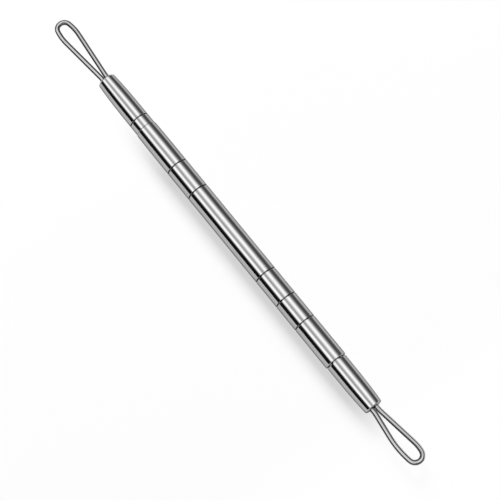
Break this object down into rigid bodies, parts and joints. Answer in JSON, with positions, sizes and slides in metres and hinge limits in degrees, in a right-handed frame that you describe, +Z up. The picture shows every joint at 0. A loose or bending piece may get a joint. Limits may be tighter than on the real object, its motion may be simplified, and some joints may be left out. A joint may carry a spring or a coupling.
{
  "type": "blackhead extractor",
  "caption": "Slim round sectioned steel handle with a narrow wire loop at each end, pressed around a clogged pore to clear it.",
  "frame": {"origin": "bottom centre of the bounding box, on the surface that the tool lies on, under its axis", "axes": "+X along the tool from the long loop towards the short loop, +Z up from the surface, square to the loops' flat side"},
  "size_m": [0.1184, 0.0048, 0.0048],
  "materials": {
    "polished_steel": "mirror polished stainless steel",
    "loop_wire": "drawn stainless wire, polished",
    "brazing_metal": "dull silver brazing",
    "rod_steel": "plain turned steel"
  },
  "bodies": {
    "root": {"long_loop": "loop_wire", "long_loop_ferrule": "polished_steel", "long_loop_brazing": "brazing_metal", "neck_ring": "polished_steel", "long_end_sleeve": "polished_steel", "long_end_spacer": "polished_steel", "grip": "polished_steel", "short_end_spacer": "polished_steel", "short_end_band": "polished_steel", "short_end_sleeve": "polished_steel", "short_loop_ferrule": "polished_steel", "short_loop_brazing": "brazing_metal", "short_loop": "loop_wire", "tie_rod": "rod_steel"}
  },
  "joints": []
}
